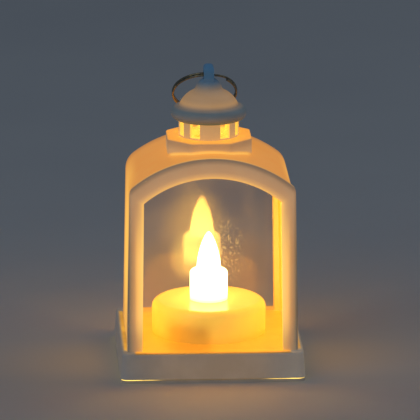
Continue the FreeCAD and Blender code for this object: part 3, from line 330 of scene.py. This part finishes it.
flame_mesh = bmesh.new()
outline = [flame_mesh.verts.new((wide * FLAME_RADIUS, 0, FLAME_LOW.z + high * FLAME_HEIGHT))
           for wide, high in FLAME_OUTLINE]
edges = [flame_mesh.edges.new(pair) for pair in zip(outline, outline[1:])]
bmesh.ops.spin(flame_mesh, geom=outline + edges, cent=(0, 0, 0), axis=(0, 0, 1), dvec=(0, 0, 0),
               angle=math.tau, steps=40, use_merge=True, use_duplicate=False)
bmesh.ops.remove_doubles(flame_mesh, verts=flame_mesh.verts, dist=0.00001)
bmesh.ops.recalc_face_normals(flame_mesh, faces=flame_mesh.faces)


def object_from(mesh_work, name, material, smooth=True):
    """Ends a bmesh as an object at the origin, with its material."""
    mesh = bpy.data.meshes.new(name)
    mesh_work.to_mesh(mesh)
    mesh_work.free()
    for face in mesh.polygons:
        face.use_smooth = smooth
    mesh.materials.append(material)
    made = bpy.data.objects.new(name, mesh)
    bpy.context.scene.collection.objects.link(made)
    return made


flame_plastic, tree, shader = new_material("flame_plastic")
where, x, y, z = place(tree)
moulded(tree, shader, where, (0.90, 0.78, 0.5, 1), 0.35, 0.00002)
to_tip = between(tree, z, *FLAME_TOP)
glow(tree, shader, mixed(tree, to_tip, (1.0, 0.70, 0.26, 1), (1.0, 0.62, 0.16, 1)), 13.0)

flame = object_from(flame_mesh, "flame", flame_plastic)
wall = flame.modifiers.new("wall", "SOLIDIFY")
wall.thickness = FLAME_WALL
wall.offset = -1
rounding = flame.modifiers.new("rounding", "SUBSURF")
rounding.levels = rounding.render_levels = 1
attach(flame, "lantern")
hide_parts("flame_cover")

# Plinth. A square moulded foot whose sides lean in, screwed to the base plate. All its light is
# painted. Lamplight comes up through the joint between its deck and the housing as a painted soft
# uneven line. The deck inside the housing has painted lamplight in its colour and glow, a little
# less in front of the cells, where a painted shadow falls. The foot glows more in its middle than
# at its sides, its sides get a cooler, lighter painted tint and its right side a paler glow.

DECK = 11.0 * MM, 11.4 * MM
ROOM_ASIDE = 29 * MM, 30.4 * MM
ROOM_DEEP = 32.4 * MM, 34 * MM
LINE_IN = 32.2 * MM, 32.6 * MM
LINE_OUT = 33.2 * MM, 34.4 * MM
LINE_ENDS = 27 * MM, 30 * MM
SHADE_WIDE = 4.5 * MM, 12 * MM
SHADE_FRONT = -22 * MM, -14 * MM
MIDDLE_SPAN = 14 * MM, 35 * MM
RIGHT_SPAN = 16 * MM, 32 * MM

plinth_plastic, tree, shader = new_material("plinth_plastic")
where, x, y, z = place(tree)
aside = size_of(tree, x)
forward = size_of(tree, y)
deck = between(tree, z, *DECK)
# Painted lamplight on the deck under the roof, in base colour and glow.
under_roof = together(tree, deck, until(tree, aside, *ROOM_ASIDE))
# Painted light: the lamplight leak line along the joint.
painted_leak_line = together(tree, deck, between(tree, aside, *LINE_IN), until(tree, aside, *LINE_OUT),
                until(tree, forward, *LINE_ENDS))
# Painted light: cooler, lighter sides, stronger glow in the middle, paler glow on the right.
middle = until(tree, aside, *MIDDLE_SPAN)
outer = mixed(tree, middle, (0.72, 0.80, 0.84, 1), (0.70, 0.72, 0.74, 1))
outer = mixed(tree, under_roof, outer, (0.80, 0.52, 0.16, 1))
moulded(tree, shader, where, mixed(tree, painted_leak_line, outer, (0.60, 0.40, 0.16, 1)))
through = calc(tree, "MULTIPLY_ADD", middle, 0.6, 0.4)
painted_plinth_glow = mixed(tree, through, (0.0, 0.0, 0.0, 1), (0.105, 0.056, 0.010, 1))
painted_plinth_glow = mixed(tree, between(tree, x, *RIGHT_SPAN), painted_plinth_glow, (0.092, 0.059, 0.025, 1))
# Painted shadow of the cells on the painted lamplit deck.
beside = size_of(tree, calc(tree, "SUBTRACT", x, CELLS_MIDDLE.x))
painted_cell_shade = together(tree, until(tree, beside, *SHADE_WIDE), until(tree, y, *SHADE_FRONT))
inside = together(tree, under_roof, until(tree, forward, *ROOM_DEEP))
deck_light = mixed(tree, painted_cell_shade, (0.68, 0.25, 0.010, 1), (0.40, 0.14, 0.002, 1))
painted_plinth_glow = mixed(tree, inside, painted_plinth_glow, deck_light)
# The painted leak line is made patchy.
patches = between(tree, noise(tree, where, 110, 2), 0.25, 0.75)
painted_leak_line = together(tree, painted_leak_line, calc(tree, "MULTIPLY_ADD", patches, 0.45, 0.25))
glow(tree, shader, mixed(tree, painted_leak_line, painted_plinth_glow, (0.90, 0.44, 0.03, 1)))
finish_with(plinth_plastic, "plinth")

# Housing. The arched body, moulded in one thin white shell with its eight-sided collar. Its
# front is open and its rear wall has a window. The shell's orange from the lamp inside is painted
# lamplight, in its warm base colour and its glow: the side walls are brightest level with the
# flame, the front edge is painted brighter low down, the lower walls, the rear and the collar's
# sides carry painted shade, a painted bright line runs along the collar's foot, its top is
# painted brighter and the inner faces have a painted glow of their own.

# Painted light: white plastic given a warm, lamplit base colour.
LAMP_TINTED_WHITE = (0.80, 0.64, 0.40, 1)
ARCH_CENTRE = 38.7 * MM
FLAME_MIDDLE = 42 * MM
FLAME_SQUASH = 0.8
FACING_IN = -0.004
LOW_SIDE = 10 * MM, 62 * MM
SIDE_WALL = 27 * MM, 31 * MM
LIT_ROUND = 6 * MM, 40 * MM
REAR = 18 * MM, 29 * MM
FRONT_EDGE = -28.6 * MM, -25.6 * MM
COLLAR_FROM = 47.3 * MM, 47.9 * MM
COLLAR_SIDE = 85.0 * MM, 88.4 * MM
COLLAR_TOP = 88.9 * MM, 89.3 * MM
FOOT_FROM = 46.9 * MM, 47.0 * MM
FOOT_TO = 47.1 * MM, 48.4 * MM
FOOT_ASIDE = 14 * MM, 16.4 * MM

housing_plastic, tree, shader = new_material("housing_plastic")
where, x, y, z = place(tree)
moulded(tree, shader, where, LAMP_TINTED_WHITE)
aside = size_of(tree, x)
over_arch = calc(tree, "SUBTRACT", z, ARCH_CENTRE)
from_centre = reach(tree, x, over_arch)
low_side = until(tree, z, *LOW_SIDE)
# Painted lamplight and shade: darker low down, brightest on the side walls level with the flame,
# darker at the rear, brighter along the front edge.
painted_shell_glow = mixed(tree, low_side, (0.60, 0.205, 0.004, 1), (0.44, 0.155, 0.006, 1))
above_flame = calc(tree, "MULTIPLY", calc(tree, "SUBTRACT", z, FLAME_MIDDLE), FLAME_SQUASH)
from_flame = reach(tree, y, above_flame)
flank = together(tree, between(tree, aside, *SIDE_WALL), until(tree, from_flame, *LIT_ROUND))
painted_shell_glow = mixed(tree, flank, painted_shell_glow, (1.0, 0.50, 0.05, 1))
painted_shell_glow = mixed(tree, between(tree, y, *REAR), painted_shell_glow, (0.34, 0.12, 0.008, 1))
front_edge = together(tree, until(tree, y, *FRONT_EDGE), low_side)
painted_shell_glow = mixed(tree, front_edge, painted_shell_glow, (0.95, 0.48, 0.06, 1))
# Painted shade on the collar's sides, a painted bright line along its foot and a brighter top.
collar_side = mixed(tree, between(tree, z, *COLLAR_SIDE),
                    (0.310, 0.172, 0.072, 1), (0.185, 0.100, 0.045, 1))
painted_shell_glow = mixed(tree, between(tree, from_centre, *COLLAR_FROM), painted_shell_glow, collar_side)
foot = together(tree, between(tree, from_centre, *FOOT_FROM), until(tree, from_centre, *FOOT_TO),
                until(tree, aside, *FOOT_ASIDE))
painted_shell_glow = mixed(tree, foot, painted_shell_glow, (0.80, 0.385, 0.045, 1))
painted_shell_glow = mixed(tree, between(tree, z, *COLLAR_TOP), painted_shell_glow, (0.80, 0.28, 0.004, 1))
# Inner faces get a painted glow of their own.
outward = add(tree, "CombineXYZ")
feed(tree, outward.inputs[0], x)
feed(tree, outward.inputs[2], over_arch)
facing_out = add(tree, "VectorMath", operation="DOT_PRODUCT")
feed(tree, facing_out.inputs[0], add(tree, "NewGeometry").outputs["Normal"])
feed(tree, facing_out.inputs[1], outward.outputs[0])
inner = calc(tree, "LESS_THAN", facing_out.outputs["Value"], FACING_IN)
glow(tree, shader, mixed(tree, inner, painted_shell_glow, (0.60, 0.26, 0.01, 1)))
finish_with(housing_plastic, "housing")

# Front bezel. A separate arched frame glued over the housing's open front. Its light is painted:
# it has painted shade, greyer than the shell behind it, at its rounded outer edge, painted
# lamplight brightest along the window, darker near the sill, and a glow on its back face.

JAMB_FROM, JAMB_WIDE = 26.6 * MM, 6.0 * MM
CROWN_FROM, CROWN_WIDE = 40.7 * MM, 7.5 * MM
NEAR_SILL = 10.5 * MM, 27 * MM
JAMB_TO_CROWN = 44 * MM, 76 * MM
BEZEL_BACK = -30.4 * MM, -29.8 * MM
OUTER_SIDE = 0.97, 1.02

bezel_plastic, tree, shader = new_material("front_bezel_plastic")
where, x, y, z = place(tree)
moulded(tree, shader, where, (0.80, 0.70, 0.55, 1))
from_centre = reach(tree, x, calc(tree, "SUBTRACT", z, ARCH_CENTRE))
past_jamb = calc(tree, "DIVIDE", calc(tree, "SUBTRACT", size_of(tree, x), JAMB_FROM), JAMB_WIDE)
past_arch = calc(tree, "DIVIDE", calc(tree, "SUBTRACT", from_centre, CROWN_FROM), CROWN_WIDE)
outward = calc(tree, "MAXIMUM", past_jamb, past_arch)


def band(tree, value, colours):
    """A run of colours, each at its place from 0 to 1."""
    made = add(tree, "ValToRGB")
    feed(tree, made.inputs[0], value)
    stops = made.color_ramp.elements
    stops.remove(stops[1])
    stops[0].position, stops[0].color = colours[0]
    for spot, colour in colours[1:]:
        stops.new(spot).color = colour
    return made.outputs["Color"]


# Painted lamplight on the bezel's face, brightest at the window edge, falling to painted shade
# outward.
crown = band(tree, outward, ((0.0, (0.90, 0.42, 0.05, 1)), (0.14, (0.58, 0.27, 0.06, 1)),
                             (0.34, (0.40, 0.185, 0.055, 1)), (0.72, (0.33, 0.16, 0.054, 1)),
                             (0.96, (0.115, 0.045, 0.002, 1))))
jamb = band(tree, outward, ((0.0, (1.0, 0.58, 0.10, 1)), (0.34, (0.92, 0.43, 0.06, 1)),
                            (0.56, (0.48, 0.20, 0.035, 1)), (0.80, (0.21, 0.10, 0.016, 1)),
                            (0.96, (0.01, 0.004, 0.0, 1))))
by_sill = band(tree, outward, ((0.0, (0.60, 0.28, 0.025, 1)), (0.34, (0.35, 0.155, 0.03, 1)),
                               (0.56, (0.22, 0.105, 0.03, 1)), (0.80, (0.11, 0.065, 0.025, 1)),
                               (0.96, (0.015, 0.01, 0.005, 1))))
# Painted shade near the sill, a darker outer side and a brighter back face.
jamb = mixed(tree, between(tree, z, *NEAR_SILL), by_sill, jamb)
face = mixed(tree, between(tree, z, *JAMB_TO_CROWN), jamb, crown)
face = mixed(tree, between(tree, outward, *OUTER_SIDE), face, (0.30, 0.13, 0.012, 1))
glow(tree, shader, mixed(tree, between(tree, y, *BEZEL_BACK), face, (0.75, 0.34, 0.03, 1)))
finish_with(bezel_plastic, "front_bezel")

# Window films. Two sheets of clear film, the front one behind the bezel and the rear one held
# by a thin frame. Both are glossy and finely scratched; their mirroring of the candle is painted
# into a bright spot in their colour, with the film darker around it and darkest to the right.
# The rear film also carries a painted orange haze and painted glints near the candle's reflection.

DULL_ASIDE = 17 * MM, 22 * MM


def spot_on(tree, x, z, middle, size):
    """1 at a place on the sheet, falling smoothly to 0 at its size in x and z."""
    squares = []
    for value, centre, half in zip((x, z), middle, size):
        out = calc(tree, "DIVIDE", calc(tree, "SUBTRACT", value, centre * MM), half * MM)
        squares.append(calc(tree, "MULTIPLY", out, out))
    return until(tree, calc(tree, "ADD", *squares), 0.0, 1.0)


def film(name, tint, cover):
    """Clear film: open but for a small cover, mirror-like there, with fine scratches; its mirroring
    is painted bright in a spot round the candle's reflection and dull elsewhere.
    """
    made, tree, shader = new_material(name)
    where, x, y, z = place(tree)
    shader.inputs["Metallic"].default_value = 0.85
    shader.inputs["Alpha"].default_value = cover
    turn = add(tree, "Mapping")
    tree.links.new(where, turn.inputs["Vector"])
    turn.inputs["Rotation"].default_value = (0, 0.6, 0)
    turn.inputs["Scale"].default_value = (1, 1, 0.12)
    scratches = between(tree, noise(tree, turn.outputs[0], 2200, 3), 0.60, 0.70)
    smears = between(tree, noise(tree, where, 70, 4), 0.4, 0.75)
    # Painted reflection: the film's colour, and so its mirroring, is bright only round the candle's
    # reflection and dull elsewhere, darkest to the right.
    painted_mirror_spot = spot_on(tree, x, z, (-4, 42), (18, 24))
    dull = mixed(tree, between(tree, x, *DULL_ASIDE), toned(tint, 0.48), toned(tint, 0.08))
    bright = mixed(tree, smears, tint, toned(tint, 0.8))
    paint(tree, shader, painted_mirror_spot, dull, bright)
    rough = calc(tree, "MULTIPLY_ADD", smears, 0.08, 0.07)
    feed(tree, shader.inputs["Roughness"], calc(tree, "MULTIPLY_ADD", scratches, 0.25, rough))
    bump = add(tree, "Bump")
    bump.inputs["Strength"].default_value = 0.15
    bump.inputs["Distance"].default_value = 0.00002
    feed(tree, bump.inputs["Height"], scratches)
    feed(tree, shader.inputs["Normal"], bump.outputs["Normal"])
    return made, tree, shader, scratches


finish_with(film("front_film", (0.9, 0.86, 0.78, 1), 0.03)[0], "front_pane")

# Painted reflection: the rear film's warm tint colours the candle's reflection orange.
rear_film, tree, shader, scratches = film("rear_film", (1.0, 0.78, 0.36, 1), 0.11)
where, x, y, z = place(tree)
# Painted light: a cloudy orange haze of lamplight, brightest near the candle's reflection, and
# painted glints from specks and scratches beside it.
clouds = between(tree, noise(tree, where, 45, 3), 0.35, 0.65)
painted_haze = mixed(tree, clouds, (0.045, 0.024, 0.010, 1), (0.115, 0.058, 0.016, 1))
for middle, size, colour in (
    ((-4, 44), (15, 20), (0.22, 0.108, 0.012, 1)),
    ((-15, 26), (16, 19), (0.13, 0.056, 0.002, 1)),
    ((15, 28), (14, 18), (0.14, 0.055, 0.002, 1)),
    ((-7, 34), (8, 12), (0.34, 0.19, 0.02, 1)),
):
    painted_haze = mixed(tree, spot_on(tree, x, z, middle, size), painted_haze, colour)
specks = between(tree, noise(tree, where, 1150, 3), 0.56, 0.66)
painted_glints = together(tree, calc(tree, "MAXIMUM", specks, scratches),
                   spot_on(tree, x, z, (8, 35), (9, 16)))
glow(tree, shader, mixed(tree, painted_glints, painted_haze, (0.62, 0.36, 0.08, 1)), 7.0)
finish_with(rear_film, "rear_pane")

retainer_plastic, tree, shader = new_material("rear_retainer_plastic")
# Painted lamplight: a warm-tinted base colour and a glow.
moulded(tree, shader, place(tree)[0], LAMP_TINTED_WHITE)
glow(tree, shader, (0.5, 0.22, 0.02, 1))
finish_with(retainer_plastic, "rear_retainer")

# Vent drum. A short slotted ring that snaps into the collar and carries the cap. Its light is
# painted: its posts glow dim from outside, and its inner wall has a bright painted glow behind
# the slots.

DRUM_FACE = 11.0 * MM, 11.5 * MM

drum_plastic, tree, shader = new_material("vent_drum_plastic")
where, x, y, z = place(tree)
moulded(tree, shader, where, (0.80, 0.70, 0.54, 1))
# Painted glow: dim on the posts' outer faces, bright on the inner wall.
post_face = between(tree, reach(tree, x, y), *DRUM_FACE)
glow(tree, shader, mixed(tree, post_face, (0.80, 0.39, 0.035, 1), (0.28, 0.158, 0.055, 1)))
finish_with(drum_plastic, "vent_drum")

# Cap. A hollow ogee roof pressed onto the drum, with a rolled rim and a hanging tab. Only its
# dome and the inside under it get a painted lamplight glow, stronger low on the dome; the rim and
# the tab get none. The underside of the rim is painted darker as shade, and the colour turns
# blue towards the tab.

RIM_OUT = 12.2 * MM, 12.8 * MM
RIM_UNDER = 95.8 * MM, 98.4 * MM
DOME_FOOT = 100.1 * MM, 102.9 * MM
DOME_LOW = 102.0 * MM, 104.5 * MM
DOME_TOP = 105.0 * MM, 110.5 * MM
COOL_FROM = 107.8 * MM, 112.8 * MM
ATTIC_OUT = 10.0 * MM, 10.5 * MM
ATTIC_TOP = 99.5 * MM, 100.5 * MM

cap_plastic, tree, shader = new_material("cap_plastic")
where, x, y, z = place(tree)
off_axis = reach(tree, x, y)
shade = mixed(tree, between(tree, z, *COOL_FROM), (0.66, 0.72, 0.70, 1), (0.26, 0.60, 0.94, 1))
# Painted shade: darker blue under the rim.
below_rim = together(tree, between(tree, off_axis, *RIM_OUT), until(tree, z, *RIM_UNDER))
moulded(tree, shader, where, mixed(tree, below_rim, shade, (0.16, 0.34, 0.50, 1)))
# Painted lamplight on the dome, stronger low down, and a bright painted glow inside the cap over
# the drum.
dome = together(tree, between(tree, z, *DOME_FOOT), until(tree, z, *DOME_TOP))
dome_light = mixed(tree, until(tree, z, *DOME_LOW), (0.245, 0.105, 0.0, 1), (0.33, 0.14, 0.0, 1))
outside = mixed(tree, dome, (0.0, 0.0, 0.0, 1), dome_light)
attic = together(tree, until(tree, off_axis, *ATTIC_OUT), until(tree, z, *ATTIC_TOP))
glow(tree, shader, mixed(tree, attic, outside, (0.90, 0.52, 0.06, 1)))
finish_with(cap_plastic, "cap")

# Hanging ring. Two turns of round spring steel wire with a blackened brassy finish, threaded
# through the tab and leaning back on the cap. The wire steps from one turn to the next.

EYE = Vector((0, 0, 112.9)) * MM
RING_RADIUS = 12.2 * MM
WIRE = 0.45 * MM
TURN_RISE = 0.92 * MM
LEAN = math.radians(43)
HANG = 12.141 * MM
ASIDE = -1.2 * MM
SPLIT_AT = math.radians(-48)
TURN_STEPS, RISE_STEPS = 80, 12
along = Vector((1, 0, 0))
down = Vector((0, math.sin(LEAN), -math.cos(LEAN)))
stance = Matrix((along, down, along.cross(down))).transposed().to_4x4()
stance.translation = EYE + ASIDE * along + HANG * down

ring_mesh = bmesh.new()
start = Matrix.Translation((RING_RADIUS, 0, -TURN_RISE / 2)) @ Matrix.Rotation(math.pi / 2, 4, "X")
section = bmesh.ops.create_circle(ring_mesh, cap_ends=False, segments=12, radius=WIRE, matrix=start)
loop = section["verts"] + list({edge for vert in section["verts"] for edge in vert.link_edges})
for degrees, rise, steps in ((320, 0, TURN_STEPS), (40, TURN_RISE, RISE_STEPS),
                             (320, 0, TURN_STEPS)):
    spun = bmesh.ops.spin(ring_mesh, geom=loop, cent=(0, 0, 0), axis=(0, 0, 1),
                          dvec=(0, 0, rise / steps), angle=math.radians(degrees), steps=steps,
                          use_merge=False, use_duplicate=False)
    loop = spun["geom_last"]
open_ends = [edge for edge in ring_mesh.edges if edge.is_boundary]
bmesh.ops.holes_fill(ring_mesh, edges=open_ends, sides=0)
bmesh.ops.recalc_face_normals(ring_mesh, faces=ring_mesh.faces)
bmesh.ops.rotate(ring_mesh, cent=(0, 0, 0), matrix=Matrix.Rotation(SPLIT_AT, 3, "Z"),
                 verts=ring_mesh.verts)
bmesh.ops.transform(ring_mesh, matrix=stance, verts=ring_mesh.verts)

ring_steel, tree, shader = new_material("blackened_spring_steel")
where = place(tree)[0]
shader.inputs["Metallic"].default_value = 1.0
worn = between(tree, noise(tree, where, 800, 4), 0.45, 0.7)
paint(tree, shader, worn, (0.26, 0.23, 0.17, 1), (0.55, 0.44, 0.24, 1))
feed(tree, shader.inputs["Roughness"], calc(tree, "MULTIPLY_ADD", worn, 0.12, 0.22))

ring = object_from(ring_mesh, "ring_wire", ring_steel)
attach(ring, "ring")
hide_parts("split_ring")

# Where the lantern stands. A plain pale floor, soft dim light from above the window and a long
# lens a little to the left of the middle and above the roof.

floor_mesh = bmesh.new()
bmesh.ops.create_grid(floor_mesh, x_segments=1, y_segments=1, size=4)
floor_paint, tree, shader = new_material("floor_paint")
clouds = between(tree, noise(tree, place(tree)[0], 6, 3), 0.3, 0.7)
paint(tree, shader, clouds, (0.74, 0.73, 0.72, 1), (0.70, 0.69, 0.69, 1))
shader.inputs["Roughness"].default_value = 0.7
floor = object_from(floor_mesh, "floor", floor_paint, smooth=False)

world = bpy.data.worlds.new("room")
bpy.context.scene.world = world
world.use_nodes = True
daylight = world.node_tree.nodes["Background"]
daylight.inputs["Color"].default_value = (0.62, 0.78, 1.0, 1)
daylight.inputs["Strength"].default_value = 0.11

LIT_SPOT = Vector((0, 0, 0.05))
for name, spot, size, power, colour in (
    ("softbox", (-0.5, -0.6, 0.8), 0.7, 0.7, (0.80, 0.90, 1.0)),
    ("fill", (0.8, 0.3, 0.7), 0.8, 0.4, (0.80, 0.88, 1.0)),
):
    light = bpy.data.lights.new(name, "AREA")
    light.size = size
    light.energy = power
    light.color = colour
    lamp = bpy.data.objects.new(name, light)
    bpy.context.scene.collection.objects.link(lamp)
    lamp.location = spot
    lamp.rotation_euler = (LIT_SPOT - Vector(spot)).to_track_quat("-Z", "Y").to_euler()

AZIMUTH, ELEVATION, AWAY = math.radians(2.88), math.radians(14.22), 2.277
LENS = 506
aim = Vector((0.0005, 0, 0.0592))
back = Vector((-math.sin(AZIMUTH) * math.cos(ELEVATION), -math.cos(AZIMUTH) * math.cos(ELEVATION),
               math.sin(ELEVATION)))
camera = bpy.data.objects.new("camera", bpy.data.cameras.new("camera"))
bpy.context.scene.collection.objects.link(camera)
camera.data.lens = LENS
camera.data.clip_start, camera.data.clip_end = 0.1, 30
camera.location = aim + back * AWAY
camera.rotation_euler = (-back).to_track_quat("-Z", "Y").to_euler()
bpy.context.scene.camera = camera
bpy.context.scene.view_settings.view_transform = "Standard"
